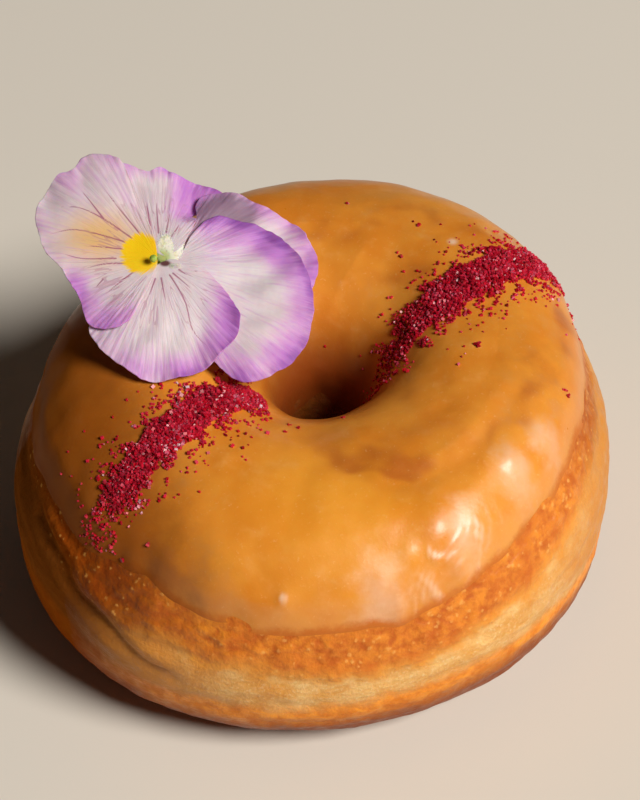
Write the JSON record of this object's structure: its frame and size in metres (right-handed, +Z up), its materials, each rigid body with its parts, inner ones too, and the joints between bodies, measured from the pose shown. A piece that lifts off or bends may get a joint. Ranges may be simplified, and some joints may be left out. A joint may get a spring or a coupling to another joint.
{
  "type": "glazed ring doughnut",
  "caption": "Round ring doughnut with caramel glaze, a slanting stripe of crimson sugar crystals and a purple and white viola flower lying on top.",
  "frame": {"origin": "on the surface it rests on, under the middle of the whole thing's bounding box", "axes": "+Z up, -Y towards the side that the picture shows as the front, +X to its right"},
  "size_m": [0.0948, 0.1014, 0.0614],
  "materials": {
    "fried_dough": "matte browned crust with a pale soft belt",
    "caramel_glaze": "satin gloss, slightly translucent",
    "viola_petal": "velvety thin petal, white to lilac with purple veins and a yellow eye",
    "calyx_green": "matte fresh green"
  },
  "bodies": {
    "root": {"doughnut": "fried_dough", "glaze": "caramel_glaze", "petal_lip": "viola_petal", "petal_side_upper": "viola_petal", "petal_side_lower": "viola_petal", "petal_back_left": "viola_petal", "petal_back_right": "viola_petal", "stigma": "calyx_green", "calyx": "calyx_green"}
  },
  "joints": []
}
